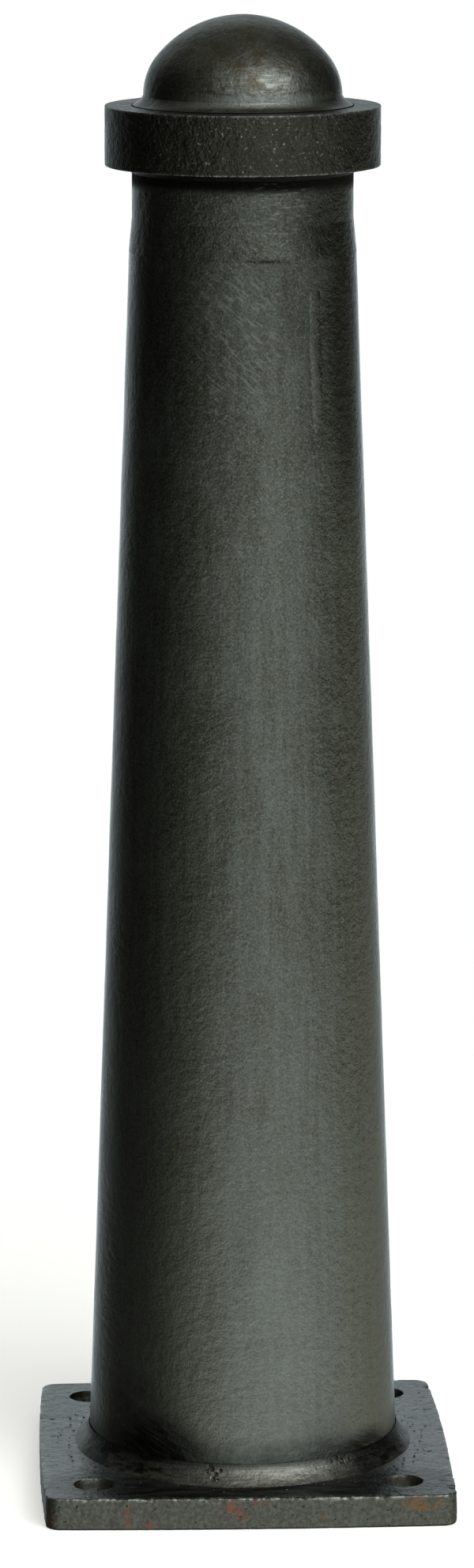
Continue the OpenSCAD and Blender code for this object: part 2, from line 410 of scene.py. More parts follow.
def turned_tree():
    """Turns a section round the Z axis and dents its outside. The section is the object's own mesh: a
    closed row of points in the XZ plane, each with its outward direction, whether it shows and its wear."""
    tree = bpy.data.node_groups.new("turned_piece", "GeometryNodeTree")
    tree.interface.new_socket("Geometry", in_out="OUTPUT", socket_type="NodeSocketGeometry")
    tree.interface.new_socket("Section", in_out="INPUT", socket_type="NodeSocketGeometry")
    for name, kind in (
        ("Columns", "Int"), ("Wave Size", "Float"), ("Wave Depth", "Float"), ("Dent Size", "Float"),
        ("Dent Depth", "Float"), ("Grain Size", "Float"), ("Grain Depth", "Float"),
        ("Ripples", "Float"), ("Ripple Depth", "Float"), ("Seed", "Float"), ("Steel", "Material"),
    ):
        tree.interface.new_socket(name, in_out="INPUT", socket_type="NodeSocket" + kind)
    given = tree.nodes.new("NodeGroupInput").outputs
    section = given["Section"]
    count = add(tree, "GeometryNodeAttributeDomainSize", {"Geometry": section}).outputs["Point Count"]
    across = sums(tree, "ADD", given["Columns"], 1)
    down = sums(tree, "ADD", count, 1)
    inputs = {"Size X": 1.0, "Size Y": 1.0, "Vertices X": across, "Vertices Y": down}
    sheet = add(tree, "GeometryNodeMeshGrid", inputs)
    at = add(tree, "ShaderNodeSeparateXYZ", {0: add(tree, "GeometryNodeInputPosition").outputs[0]}).outputs
    turn = sums(tree, "MULTIPLY", sums(tree, "ADD", at["X"], 0.5), math.tau)
    row = sums(tree, "ROUND", sums(tree, "MULTIPLY", sums(tree, "ADD", at["Y"], 0.5), count))
    row = sums(tree, "MODULO", row, count)

    def along(field, kind):
        inputs = {"Geometry": section, "Value": field, "Index": row}
        return add(tree, "GeometryNodeSampleIndex", inputs, data_type=kind).outputs["Value"]

    def attribute(name, kind="FLOAT"):
        found = add(tree, "GeometryNodeInputNamedAttribute", {"Name": name}, data_type=kind)
        return found.outputs["Attribute"]

    def swung(vector):
        part = add(tree, "ShaderNodeSeparateXYZ", {0: vector}).outputs
        x = sums(tree, "MULTIPLY", part["X"], sums(tree, "COSINE", turn))
        y = sums(tree, "MULTIPLY", part["X"], sums(tree, "SINE", turn))
        return add(tree, "ShaderNodeCombineXYZ", {0: x, 1: y, 2: part["Z"]}).outputs[0]

    place = swung(along(add(tree, "GeometryNodeInputPosition").outputs[0], "FLOAT_VECTOR"))
    outward = swung(along(attribute("outward", "FLOAT_VECTOR"), "FLOAT_VECTOR"))
    show = along(attribute("show"), "FLOAT")
    wear = along(attribute("wear"), "FLOAT")
    shape = sheet.outputs["Mesh"]
    for name, value, kind in (
        ("show", show, "FLOAT"), ("wear", wear, "FLOAT"), ("turn", turn, "FLOAT"),
        ("outward", outward, "FLOAT_VECTOR"),
    ):
        inputs = {"Geometry": shape, "Name": name, "Value": value}
        shape = add(tree, "GeometryNodeStoreNamedAttribute", inputs, data_type=kind).outputs[0]
    shape = add(tree, "GeometryNodeSetPosition", {"Geometry": shape, "Position": place}).outputs[0]
    shape = add(tree, "GeometryNodeMergeByDistance", {"Geometry": shape, "Distance": 1e-5}).outputs[0]
    depth = 0.0
    for kind, detail in (("Wave", 1.0), ("Dent", 1.0), ("Grain", 2.0)):
        scale = sums(tree, "DIVIDE", 1.0, given[kind + " Size"])
        inputs = {"W": given["Seed"], "Scale": scale, "Detail": detail}
        cloud = add(tree, "ShaderNodeTexNoise", inputs, noise_dimensions="4D").outputs[0]
        depth = sums(tree, "MULTIPLY_ADD", cloud, given[kind + " Depth"], depth)
    phase = sums(tree, "MULTIPLY", attribute("turn"), given["Ripples"])
    ripple = sums(tree, "MULTIPLY_ADD", sums(tree, "SINE", phase), 0.5, 0.5)
    depth = sums(tree, "MULTIPLY_ADD", ripple, given["Ripple Depth"], depth)
    depth = sums(tree, "MULTIPLY", sums(tree, "MULTIPLY", depth, attribute("show")), -1.0)
    inputs = {0: attribute("outward", "FLOAT_VECTOR"), "Scale": depth}
    inward = add(tree, "ShaderNodeVectorMath", inputs, operation="SCALE").outputs[0]
    shape = add(tree, "GeometryNodeSetPosition", {"Geometry": shape, "Offset": inward}).outputs[0]
    shape = add(tree, "GeometryNodeRealizeInstances", {"Geometry": shape}).outputs[0]
    shape = add(tree, "GeometryNodeSetMaterial", {"Geometry": shape, "Material": given["Steel"]}).outputs[0]
    tree.links.new(shape, tree.nodes.new("NodeGroupOutput").inputs[0])
    return tree


turning = turned_tree()


def outward_at(points, i):
    """The section's outward direction at one of its points: square to its neighbours."""
    x0, z0 = points[max(0, i - 1)]
    x1, z1 = points[min(len(points) - 1, i + 1)]
    return Vector((z1 - z0, 0, x0 - x1)).normalized()


def turned(name, shown, hidden, steel, node, slot, columns=288, wear=None, work=None, **sizes):
    """Makes a round piece from its section: the points that show, then those that lie against others.
    wear(r, z) says how worn an edge is, work(point) how much deeper the hand tools went there, and the
    sizes are the turned tree's inputs."""
    points = shown + hidden
    section = bpy.data.meshes.new(name + "_section")
    section.from_pydata([(r, 0, z) for r, z in points], [], [])
    show = section.attributes.new("show", "FLOAT", "POINT")
    worn = section.attributes.new("wear", "FLOAT", "POINT")
    outward = section.attributes.new("outward", "FLOAT_VECTOR", "POINT")
    for i, point in enumerate(points):
        outward.data[i].vector = outward_at(shown, i) if i < len(shown) else (0, 0, 0)
        show.data[i].value = 1.0 if i < len(shown) else 0.0
        worn.data[i].value = wear(*point) if wear and i < len(shown) else 0.0
    blank = bpy.data.objects.new(name + "_blank", section)
    bpy.context.scene.collection.objects.link(blank)
    lathe = blank.modifiers.new("turning", "NODES")
    lathe.node_group = turning
    values = {
        "Columns": columns, "Wave Size": 0.08, "Wave Depth": 0.0, "Dent Size": 0.014, "Dent Depth": 0.0,
        "Grain Size": 0.005, "Grain Depth": 0.0, "Ripples": 0.0, "Ripple Depth": 0.0, "Seed": 0.0,
    }
    values.update({key.replace("_", " ").title(): value for key, value in sizes.items()})
    values["Steel"] = steel
    for socket in turning.interface.items_tree:
        if socket.in_out == "INPUT" and socket.name in values:
            lathe[socket.identifier] = values[socket.name]
    view = bpy.context.evaluated_depsgraph_get()
    mesh = bpy.data.meshes.new_from_object(blank.evaluated_get(view))
    mesh.name = name
    bpy.data.objects.remove(blank)
    bm = bmesh.new()
    bm.from_mesh(mesh)
    bmesh.ops.recalc_face_normals(bm, faces=bm.faces)
    if work:
        facing = bm.verts.layers.float_vector["outward"]
        for vert in bm.verts:
            if vert[facing].length > 0.5:
                vert.co -= work(vert.co) * vert[facing]
    finish_mesh(bm, mesh)
    piece(name, mesh, steel, node)


foot_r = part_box("post_shell")[1].x
shell_wall = 0.008
neck_wall = 0.0063
lip_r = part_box("neck_weld")[1].x
lip_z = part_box("neck_weld")[0].z
shell_top_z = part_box("post_shell")[1].z
root_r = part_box("neck_tube")[1].x - neck_wall
open_height = 0.0016
soot_and_shade_black = (0.004, 0.004, 0.003)
post_steel = black_steel(
    "post_steel", (0.031, 0.031, 0.023), (0.074, 0.085, 0.075), 0.31,
    grain=0.0013, relief=0.32, streak=0.9, speckle=2.2,
)
tree = post_steel.node_tree
# Paler towards the foot, sparkling with bare grains, and darker towards the neck, a painted shade.
low = spread(tree, where(tree, "Z"), 0.42, 0.06, 0.0, 0.46)
mottle = spread(tree, blotches(tree, 0.0035, detail=5, shift=9.4, rough=0.65), 0.30, 0.70, 0.65, 1.0)
stain(tree, sums(tree, "MULTIPLY", low, mottle), (0.125, 0.137, 0.124))
sparkle = spread(tree, blotches(tree, 0.0014, detail=2, shift=12.5), 0.54, 0.70)
sparkle = sums(tree, "MULTIPLY", sparkle, spread(tree, where(tree, "Z"), 0.45, 0.72, 0.35, 0.6))
stain(tree, sparkle, (0.12, 0.134, 0.122))
near_neck = spread(tree, where(tree, "Z"), 0.60, 0.75, 0.0, 0.32)
stain(tree, near_neck, soot_and_shade_black)
# A painted shade: a dark patch down the right side of the upper post.
right_painted_shade = spot(tree, (0.066, -0.042, 0.720), (0.024, 0.045, 0.14))
stain(tree, sums(tree, "MULTIPLY", right_painted_shade, 0.8), (0.007, 0.007, 0.005))
# Marks of the grinder, slanting down to the right below the collar.
place = add(tree, "ShaderNodeTexCoord").outputs["Object"]
inputs = {"Vector": place, "Rotation": (0, math.radians(42), 0), "Scale": (1 / 110, 1 / 240, 1 / 620)}
slant = add(tree, "ShaderNodeMapping", inputs, vector_type="TEXTURE")
lines = add(tree, "ShaderNodeTexNoise", {"Vector": slant.outputs[0], "Scale": 1.0, "Detail": 2.0}).outputs[0]
lines = sums(tree, "MULTIPLY", spread(tree, lines, 0.50, 0.64), 0.42)
ground_top = spot(tree, (-0.012, -0.072, 0.722), (0.042, 0.030, 0.085))
stain(tree, sums(tree, "MULTIPLY", lines, ground_top), (0.115, 0.126, 0.114), 0.30)
# Soot and oil brushed round the foot, most of it on the left, and painted shade in a band just above the weld
# in front.
inputs = {"Vector": place, "Rotation": (0, math.radians(28), 0), "Scale": (0.016, 0.016, 0.0014)}
strokes = add(tree, "ShaderNodeMapping", inputs, vector_type="TEXTURE").outputs[0]
strokes = add(tree, "ShaderNodeTexNoise", {"Vector": strokes, "Scale": 1.0, "Detail": 5.0}).outputs[0]
strokes = spread(tree, strokes, 0.34, 0.60, 0.55, 1.0)
clouds = blotches(tree, 0.006, detail=5, stretch=(2, 2, 1), shift=3.3, rough=0.65)
clouds = spread(tree, clouds, 0.32, 0.66, 0.45, 1.0)
for centre, span, marks, strength in (
    ((-0.062, -0.080, 0.036), (0.054, 0.040, 0.030), strokes, 0.95),
    ((0.078, -0.062, 0.032), (0.034, 0.034, 0.016), strokes, 0.9),
    ((0.0, -0.094, 0.034), (0.130, 0.050, 0.017), clouds, 0.5),
    ((-0.072, -0.066, 0.052), (0.060, 0.040, 0.040), clouds, 0.5),
):
    sooted_and_shaded = sums(tree, "MULTIPLY", spot(tree, centre, span), sums(tree, "MULTIPLY", marks, strength))
    stain(tree, sooted_and_shaded, soot_and_shade_black, 0.42)


def open_length(tree):
    """Soot in a short length of the joint with the neck, which the grinder left open."""
    ragged = spread(tree, blotches(tree, 0.0035, detail=4, shift=1.9, rough=0.7), 0.42, 0.56, 0.2, 0.85)
    joint = spot(tree, (0.012, -0.068, lip_z), (0.019, 0.02, open_height))
    stain(tree, sums(tree, "MULTIPLY", joint, ragged), (0.006, 0.006, 0.005), 0.6)


open_length(tree)
turned(
    "post_shell_rolled",
    line((foot_r, plate_t), (lip_r, lip_z), 318) + [(lip_r, lip_z)],
    [(root_r, shell_top_z), (foot_r - shell_wall, plate_t)],
    post_steel, "post_shell", "post",
    wave_depth=0.0005, dent_depth=0.0003, dent_size=0.020, grain_depth=0.00005,
)


# ---- Neck weld -----------------------------------------------------------------------------------
# The round weld between the post and the neck, ground and hammered smooth, and drawn a little way up
# the neck.

neck_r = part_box("neck_tube")[1].x
neck_root_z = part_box("neck_tube")[0].z
neck_bevel = math.radians(30)
neck_lip_z = neck_root_z + neck_wall * math.tan(neck_bevel)
dress_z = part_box("neck_weld")[1].z
under_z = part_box("collar_ring")[0].z
open_depth = 0.00045
neck_steel = black_steel(
    "neck_steel", (0.019, 0.019, 0.014), (0.050, 0.057, 0.050), 0.34,
    patch=0.016, grain=0.0014, relief=0.6, speckle=2.4,
)
tree = neck_steel.node_tree
# A painted shadow under the collar, a brushed patch in front and a painted shade on the right.
painted_shadow_under_collar = spread(tree, where(tree, "Z"), under_z - 0.014, under_z - 0.007)
stain(tree, painted_shadow_under_collar, (0.002, 0.002, 0.001), 0.85)
brushed = spread(tree, blotches(tree, 0.0014, detail=4, stretch=(5, 5, 1), shift=2.9), 0.52, 0.66, 0.0, 0.3)
brushed = sums(tree, "MULTIPLY", brushed, spot(tree, (0.022, -0.062, 0.800), (0.045, 0.03, 0.020)))
stain(tree, brushed, (0.15, 0.165, 0.16), 0.34)
right_painted_shade = spot(tree, (0.060, -0.044, 0.795), (0.040, 0.050, 0.060))
stain(tree, sums(tree, "MULTIPLY", right_painted_shade, 0.5), (0.006, 0.006, 0.004))
open_length(tree)


def open_joint(at):
    """A short length where the grinder left the weld's lower edge open."""
    turn = math.atan2(at.x, -at.y)
    if not -0.10 < turn < 0.36 or at.z > lip_z + open_height:
        return 0.0
    return open_depth * max(0.0, 0.6 + noise.noise((turn * 30, 0, 1.0)))


turned(
    "neck_weld_dressed",
    line((lip_r, lip_z), (neck_r, dress_z), 20) + [(neck_r, dress_z)],
    [(neck_r, neck_lip_z), (root_r, neck_root_z), (root_r, shell_top_z)],
    neck_steel, "neck_weld", "weld", work=open_joint,
    wave_depth=0.0003, dent_depth=0.0002, grain_depth=0.0001,
)


# ---- Neck tube -----------------------------------------------------------------------------------
# A short stub of heavy tube that carries the collar and the dome. It ends level with the collar's top.

cap_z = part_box("neck_tube")[1].z
turned(
    "neck_tube_stub",
    line((neck_r, neck_lip_z), (neck_r, cap_z), 40) + [(neck_r, cap_z)],
    [(root_r, cap_z), (root_r, neck_root_z)],
    neck_steel, "neck_tube", "neck",
    wave_depth=0.0004, dent_depth=0.0002, grain_depth=0.0001,
)


# ---- Collar ring ---------------------------------------------------------------------------------
# A forged ring slipped over the neck. Its face keeps the rough skin of the forging, and its edges are
# worn bright in places.

collar_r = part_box("collar_ring")[1].x
collar_clearance = 0.0004
collar_bore = neck_r + collar_clearance
groove = 0.006
groove_r = collar_bore + groove
edge_r = 0.0009
flat_start = edge_r + 0.001
worn_width = 0.0012
collar_steel = black_steel(
    "collar_steel", (0.007, 0.007, 0.005), (0.024, 0.025, 0.019), 0.38,
    patch=0.010, relief=1.0,
)
tree = collar_steel.node_tree
# Bright specks, and painted shade darkening the left and right sides.
specks = spread(tree, blotches(tree, 0.0019, detail=3, shift=5.5), 0.61, 0.73, 0.0, 0.95)
stain(tree, specks, (0.11, 0.114, 0.102), 0.35)
for side in (-0.080, 0.080):
    painted_shade_side = spot(tree, (side, -0.045, 0.838), (0.034, 0.05, 0.04))
    stain(tree, sums(tree, "MULTIPLY", painted_shade_side, 0.5), (0.003, 0.003, 0.002))
worn = add(tree, "ShaderNodeAttribute", attribute_name="wear").outputs["Fac"]
bare = spread(tree, blotches(tree, 0.005, detail=5, shift=1.7, rough=0.65), 0.42, 0.56, 0.25, 1.0)
stain(tree, sums(tree, "MULTIPLY", worn, bare), (0.20, 0.205, 0.19), 0.33)


def worn_corner(r, z):
    """How worn the collar is there: only its outer corners are."""
    gap = math.hypot(r - collar_r, min(abs(z - cap_z), abs(z - under_z)))
    return max(0.0, 1 - gap / worn_width)


turned(
    "collar_ring_forged",
    line((collar_bore, under_z), (collar_r - edge_r, under_z), 10)
    + arc((collar_r - edge_r, under_z + edge_r), edge_r, -90, 0, 6)
    + line((collar_r, under_z + flat_start), (collar_r, cap_z - edge_r), 30)
    + arc((collar_r - edge_r, cap_z - edge_r), edge_r, 0, 90, 6)
    + line((collar_r - flat_start, cap_z), (groove_r, cap_z), 8) + [(groove_r, cap_z)],
    [(collar_bore, cap_z - groove)],
    collar_steel, "collar_ring", "collar", columns=576, wear=worn_corner,
    wave_depth=0.0003, dent_depth=0.0003, dent_size=0.008, grain_depth=0.00030, grain_size=0.0026,
)


# ---- Collar welds --------------------------------------------------------------------------------
# A groove weld in the collar's top face, ground flush so that it looks like the collar, and a small
# rippled fillet weld under the collar, coloured near-black as painted shadow.

under_leg = 0.004
# Near-black steel: painted shadow under the collar.
under_collar_shadow_steel = black_steel(
    "under_collar_shadow_steel", (0.002, 0.002, 0.002), (0.008, 0.008, 0.007), 0.6,
    patch=0.012, relief=0.4,
)
turned(
    "collar_top_weld_flush",
    line((groove_r, cap_z), (neck_r, cap_z), 5) + [(neck_r, cap_z)],
    [(neck_r, cap_z - groove), (collar_bore, cap_z - groove)],
    collar_steel, "collar_top_weld", "weld", columns=576,
    wave_depth=0.0003, dent_depth=0.0003, dent_size=0.008, grain_depth=0.00025, grain_size=0.003,
)
turned(
    "collar_under_weld_bead",
    line((neck_r, under_z - under_leg), (collar_bore + under_leg, under_z), 6)
    + [(collar_bore + under_leg, under_z)],
    [(neck_r, under_z)],
    under_collar_shadow_steel, "collar_under_weld", "weld",
    ripples=110, ripple_depth=0.0003, grain_depth=0.0003,
)


# ---- Dome ----------------------------------------------------------------------------------------
# A cap pressed from 5 mm plate. Its straight rim stands in the neck tube, and its crown is brushed.

dome_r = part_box("dome_cap")[1].x
apex_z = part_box("dome_cap")[1].z
skirt_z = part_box("dome_cap")[0].z
dome_weld_h = 0.0055
rim_z = cap_z + dome_weld_h
dome_wall = 0.005
knuckle_r = 0.0385
rise = apex_z - rim_z
knuckle_x = dome_r - knuckle_r
crown_r = (dome_r ** 2 + rise ** 2 - 2 * dome_r * knuckle_r) / (2 * (rise - knuckle_r))
crown_z = apex_z - crown_r
meet = math.degrees(math.atan2(rim_z - crown_z, knuckle_x))
dome_steel = black_steel(
    "dome_steel", (0.026, 0.026, 0.020), (0.086, 0.090, 0.080), 0.33,
    patch=0.018, relief=0.3,
)
tree = dome_steel.node_tree
# A brushed patch in front, brown oil, and a painted highlight: a bright line just above the weld, in front.
brushed = spread(tree, blotches(tree, 0.0013, detail=5, stretch=(7, 7, 1), shift=6.6), 0.45, 0.66, 0.0, 0.42)
brushed = sums(tree, "MULTIPLY", brushed, spot(tree, (0.006, -0.066, 0.864), (0.066, 0.050, 0.036)))
stain(tree, brushed, (0.155, 0.170, 0.168), 0.30)
brown = spread(tree, blotches(tree, 0.012, detail=5, shift=7.2, rough=0.65), 0.45, 0.62, 0.0, 0.6)
stain(tree, brown, (0.030, 0.024, 0.013), 0.42)
painted_highlight_foot = spread(tree, where(tree, "Z"), cap_z + 0.0012, cap_z + 0.0030)
painted_highlight_foot = sums(tree, "MULTIPLY", painted_highlight_foot, spread(tree, where(tree, "Z"), rim_z + 0.006, rim_z + 0.001))
painted_highlight_foot = sums(tree, "MULTIPLY", painted_highlight_foot, spot(tree, (0.010, -0.070, rim_z), (0.072, 0.06, 0.03)))
painted_highlight_foot = sums(tree, "MULTIPLY", painted_highlight_foot, 0.5)
stain(tree, painted_highlight_foot, (0.20, 0.215, 0.21), 0.32)
turned(
    "dome_cap_pressed",
    line((dome_r, skirt_z), (dome_r, rim_z), 10)
    + arc((knuckle_x, rim_z), knuckle_r, 0, meet, 24)
    + arc((0, crown_z), crown_r, meet, 90, 36)[1:],
    list(reversed(
        [(dome_r - dome_wall, skirt_z)]
        + arc((knuckle_x, rim_z), knuckle_r - dome_wall, 0, meet, 6)
        + arc((0, crown_z), crown_r - dome_wall, meet, 90, 6)[1:]
    )),
    dome_steel, "dome_cap", "dome",
    wave_depth=0.0004, dent_depth=0.00015, grain_depth=0.00005,
)


# ---- Dome weld -----------------------------------------------------------------------------------
# A hollow fillet weld round the foot of the dome, ground smooth. It covers the end of the neck tube.

dome_weld_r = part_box("dome_weld")[1].x
turned(
    "dome_weld_ground",
    hollow((dome_weld_r, cap_z), (dome_r, rim_z), 0.0008, 10),
    [(dome_r, cap_z)],
    dome_steel, "dome_weld", "weld",
    wave_depth=0.0002, grain_depth=0.00008,
)


# ---- Foot weld -----------------------------------------------------------------------------------
# The heavy fillet weld between the post and the base plate, ground a little hollow by hand, with pores
# left in it.

foot_weld_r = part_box("foot_weld")[1].x
foot_weld_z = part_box("foot_weld")[1].z
pore_depth = 0.0017
# The pores: turn from the front in radians, height and radius.
pores = (
    (-0.235, 0.0290, 0.0017), (-0.205, 0.0265, 0.0013), (-0.262, 0.0275, 0.0012), (-0.222, 0.0240, 0.0016),
    (-0.180, 0.0285, 0.0012), (-0.245, 0.0305, 0.0013), (-0.195, 0.0235, 0.0010), (0.640, 0.0285, 0.0015),
    (0.668, 0.0300, 0.0012), (0.610, 0.0300, 0.0012), (0.700, 0.0280, 0.0012), (0.560, 0.0295, 0.0010),
    (2.30, 0.0275, 0.0016), (2.36, 0.0290, 0.0012), (-2.38, 0.0265, 0.0014), (-2.33, 0.0290, 0.0010),
)
weld_steel = black_steel(
    "weld_steel", (0.040, 0.041, 0.036), (0.105, 0.109, 0.098), 0.36,
    patch=0.008, relief=0.3,
)
tree = weld_steel.node_tree
# Brushed along its length, with painted shade along its upper edge, and darker on both sides: soot, and
# painted shade where the weld turns from the light.
brushed = spread(tree, blotches(tree, 0.0009, detail=4, stretch=(14, 14, 1), shift=4.2), 0.42, 0.62, 0.0, 0.4)
stain(tree, brushed, (0.145, 0.15, 0.138), 0.34)
painted_shade_upper_edge = spread(tree, where(tree, "Z"), plate_t + 0.0070, plate_t + 0.0118, 0.0, 0.75)
stain(tree, painted_shade_upper_edge, (0.012, 0.012, 0.010), 0.5)
weld_soot_and_shade = blotches(tree, 0.0040, detail=5, stretch=(3, 3, 1), shift=3.6, rough=0.7)
weld_soot_and_shade = spread(tree, weld_soot_and_shade, 0.38, 0.60, 0.45, 1.0)
for centre, span in (
    ((-0.086, -0.070, 0.026), (0.080, 0.066, 0.030)),
    ((0.098, -0.062, 0.026), (0.062, 0.056, 0.028)),
):
    stain(tree, sums(tree, "MULTIPLY", spot(tree, centre, span), weld_soot_and_shade), (0.005, 0.005, 0.003), 0.42)


def ground_by_hand(at):
    """The grinder's flats and gouges on the weld, and the pores that it opened."""
    turn = math.atan2(at.x, -at.y)
    flats = noise.noise((turn * 5, at.z / 0.02, 3.0))
    gouge = noise.noise((turn * 9, at.z / 0.0022, 8.0))
    depth = 0.00030 + 0.00030 * flats + 0.00012 * gouge
    for pore_turn, pore_z, pore_r in pores:
        swing = math.remainder(turn - pore_turn, math.tau) * foot_weld_r
        gap = math.hypot(swing, (at.z - pore_z) * 1.3) / pore_r
        gap += 0.35 * noise.noise(at / 0.0009)
        if gap < 1:
            depth += pore_depth * max(0.0, 1 - gap * gap)
    return max(0.0, depth)


turned(
    "foot_weld_ground",
    hollow((foot_weld_r, plate_t), (foot_r, foot_weld_z), 0.0010, 22),
    [(foot_r, plate_t)],
    weld_steel, "foot_weld", "weld", columns=1100, work=ground_by_hand,
    grain_depth=0.00016, grain_size=0.0025,
)


# ---- Spatter -------------------------------------------------------------------------------------
# Fine beads of metal that the welding threw on the plate and that nobody scraped off.

def spatter_tree():
    """Scatters small beads over the object's own faces."""
    tree = bpy.data.node_groups.new("spatter", "GeometryNodeTree")
    tree.interface.new_socket("Geometry", in_out="OUTPUT", socket_type="NodeSocketGeometry")
    tree.interface.new_socket("Ground", in_out="INPUT", socket_type="NodeSocketGeometry")
    for name, kind in (
        ("Beads Per Area", "Float"), ("Bead Radius", "Float"), ("Seed", "Int"), ("Steel", "Material"),
    ):
        tree.interface.new_socket(name, in_out="INPUT", socket_type="NodeSocket" + kind)
    given = tree.nodes.new("NodeGroupInput").outputs
    inputs = {"Mesh": given["Ground"], "Density": given["Beads Per Area"], "Seed": given["Seed"]}
    points = add(tree, "GeometryNodeDistributePointsOnFaces", inputs).outputs["Points"]
    bead = add(tree, "GeometryNodeMeshIcoSphere", {"Radius": given["Bead Radius"], "Subdivisions": 2})
    inputs = {"Min": (0.4, 0.4, 0.25), "Max": (1.2, 1.2, 0.8), "Seed": given["Seed"]}
    sizes = add(tree, "FunctionNodeRandomValue", inputs, data_type="FLOAT_VECTOR")
    inputs = {"Points": points, "Instance": bead.outputs["Mesh"], "Scale": sizes.outputs["Value"]}
    beads = add(tree, "GeometryNodeInstanceOnPoints", inputs).outputs[0]
    beads = add(tree, "GeometryNodeRealizeInstances", {"Geometry": beads}).outputs[0]
    beads = add(tree, "GeometryNodeSetMaterial", {"Geometry": beads, "Material": given["Steel"]}).outputs[0]
    tree.links.new(beads, tree.nodes.new("NodeGroupOutput").inputs[0])
    return tree


spatter_gap = 0.001
spatter_reach = 0.013
turns = [math.tau * i / 96 for i in range(96)]
ground = bpy.data.meshes.new("spatter_ground")
ground_points = [
    (r * math.cos(a), r * math.sin(a), plate_t)
    for a in turns
    for r in (foot_weld_r + spatter_gap, foot_weld_r + spatter_reach)
]
around = len(ground_points)
ground_faces = [(k, k + 1, (k + 3) % around, (k + 2) % around) for k in range(0, around, 2)]
ground.from_pydata(ground_points, [], ground_faces)
spatter = bpy.data.objects.new("weld_spatter", ground)
bpy.context.scene.collection.objects.link(spatter)
thrown = spatter.modifiers.new("spatter", "NODES")
thrown.node_group = spatter_tree()
values = {"Beads Per Area": 14000.0, "Bead Radius": 0.0007, "Seed": 4, "Steel": weld_steel}
for socket in thrown.node_group.interface.items_tree:
    if socket.in_out == "INPUT" and socket.name in values:
        thrown[socket.identifier] = values[socket.name]
beads = bpy.data.meshes.new_from_object(spatter.evaluated_get(bpy.context.evaluated_depsgraph_get()))
spatter.modifiers.remove(thrown)
spatter.data = beads
beads.shade_smooth()
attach(spatter, body)


# ---- Seam weld -----------------------------------------------------------------------------------
# The long weld that closes the rolled post. It is dressed flush, but for a faint ridge near the top, and
# has the post's own finish.

seam_turn = math.radians(-54)
seam_half = 0.0046
seam_rows = 330
seam_start_z = plate_t + 0.013
seam_end_z = lip_z - 0.001
seam_root = 0.003
ridge_start_z = 0.645
ridge_end_z = 0.754
ridge_h = 0.0009


def seam_weld_mesh():
    """A strip laid along the cone just under its skin, which rises as a ridge between two heights."""
    bm = bmesh.new()
    grid = []
    for k in range(seam_rows + 1):
        z = seam_start_z + (seam_end_z - seam_start_z) * k / seam_rows
        radius = foot_r + (lip_r - foot_r) * (z - plate_t) / (lip_z - plate_t)
        proud = min(1.0, max(0.0, (z - ridge_start_z) / 0.050), max(0.0, (ridge_end_z - z) / 0.008))
        crown = ridge_h * proud * (1.1 + noise.noise((0, 4.0, z / 0.05)))
        sunk = 0.0006 + 0.0005 * (1 - proud)
        wander = 0.0006 * noise.noise((0, 0, z / 0.03))
        row = []
        for j in range(-6, 7):
            u = j / 6
            a = seam_turn + (seam_half * u + wander) / radius
            r = radius + crown * (1 - u ** 4) - sunk + 0.00012 * noise.noise((u, 2.0, z / 0.004))
            row.append(bm.verts.new((r * math.cos(a), r * math.sin(a), z)))
        r = radius - seam_root
        row.append(bm.verts.new((r * math.cos(seam_turn), r * math.sin(seam_turn), z)))
        grid.append(row)
    for lower, upper in zip(grid, grid[1:]):
        for i in range(len(lower)):
            j = (i + 1) % len(lower)
            bm.faces.new((lower[i], lower[j], upper[j], upper[i]))
    bm.faces.new(grid[0])
    bm.faces.new(grid[-1])
    bmesh.ops.recalc_face_normals(bm, faces=bm.faces)
    return finish_mesh(bm, bpy.data.meshes.new("seam_weld_dressed"))


piece("seam_weld_dressed", seam_weld_mesh(), post_steel, "seam_weld")


# ---- Studio --------------------------------------------------------------------------------------
# A pale round floor that fades into a pale surround, one soft box and a long lens from eye height. The
# steel shows mostly what it reflects, so the surround's light is given by direction.

key_turn = math.radians(35)
key_height = math.radians(38)
key_distance = 3.0
key_aim = Vector((0, 0, 0.45))
towards_key = Vector((
    math.sin(key_turn) * math.cos(key_height),
    -math.cos(key_turn) * math.cos(key_height),
    math.sin(key_height),
))
key = bpy.data.lights.new("key", "AREA")
key.shape = "SQUARE"
key.size = 1.4
key.energy = 22
key_stand = bpy.data.objects.new("key", key)
bpy.context.scene.collection.objects.link(key_stand)
key_stand.location = key_aim + towards_key * key_distance
key_stand.rotation_euler = (-towards_key).to_track_quat("-Z", "Y").to_euler()
key_stand.visible_camera = False

floor_r = 1.6
floor_mesh = bpy.data.meshes.new("floor")
floor_mesh.from_pydata(
    [(floor_r * math.cos(a), floor_r * math.sin(a), 0) for a in turns],
    [],
    [list(range(len(turns)))],
)
floor = bpy.data.objects.new("floor", floor_mesh)
bpy.context.scene.collection.objects.link(floor)
paint = bpy.data.materials.new("floor_paint")
paint.use_nodes = True
tree = paint.node_tree
shader = tree.nodes["Principled BSDF"]
shader.inputs["Base Color"].default_value = (0.88, 0.88, 0.87, 1)
shader.inputs["Roughness"].default_value = 0.8
shader.inputs["Emission Color"].default_value = (1, 1, 1, 1)
shader.inputs["Emission Strength"].default_value = 0.4
place = add(tree, "ShaderNodeTexCoord").outputs["Object"]
distance = add(tree, "ShaderNodeVectorMath", {0: place}, operation="LENGTH").outputs["Value"]
tree.links.new(spread(tree, distance, 0.4, 1.55, 1.0, 0.0), shader.inputs["Alpha"])
floor_mesh.materials.append(paint)
floor.visible_glossy = False

